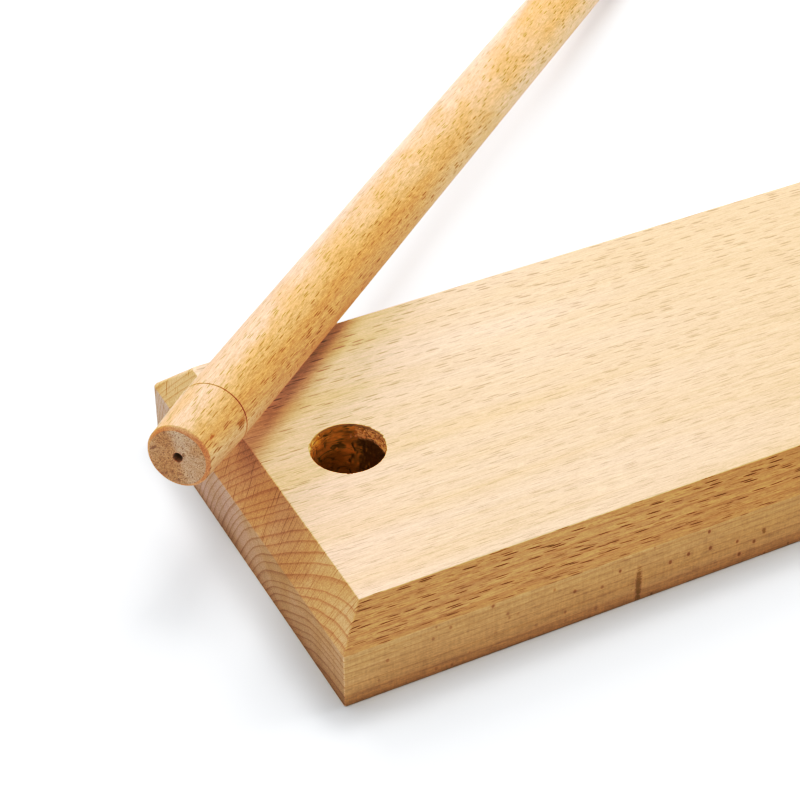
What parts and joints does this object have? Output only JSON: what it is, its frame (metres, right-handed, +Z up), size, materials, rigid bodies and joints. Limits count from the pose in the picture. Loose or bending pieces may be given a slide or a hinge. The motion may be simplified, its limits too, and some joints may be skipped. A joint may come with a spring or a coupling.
{
  "type": "two-post tabletop loom",
  "caption": "Small solid beech loom: a bevelled base board with round sockets and plug-in round posts that hold the warp.",
  "frame": {"origin": "centre of the board's underside", "axes": "+X along the board towards the standing post, +Y to the back of the board, +Z up"},
  "size_m": [0.5228, 0.3296, 0.4053],
  "materials": {
    "beech_board": "planed and sanded beech, satin, nearly bare",
    "beech_post": "turned and sanded beech, satin, nearly bare"
  },
  "bodies": {
    "base": {"base_board": "beech_board"},
    "left_post": {"left_post": "beech_post"},
    "right_post": {"right_post": "beech_post"}
  },
  "joints": [
    {"name": "left_post_lift", "type": "slide", "parent": "base", "child": "left_post", "axis": [0, 0, 1], "range_m": [0, 0.06]},
    {"name": "right_post_pull", "type": "slide", "parent": "base", "child": "right_post", "axis": [0, 0, 1], "range_m": [0, 0.03]}
  ]
}
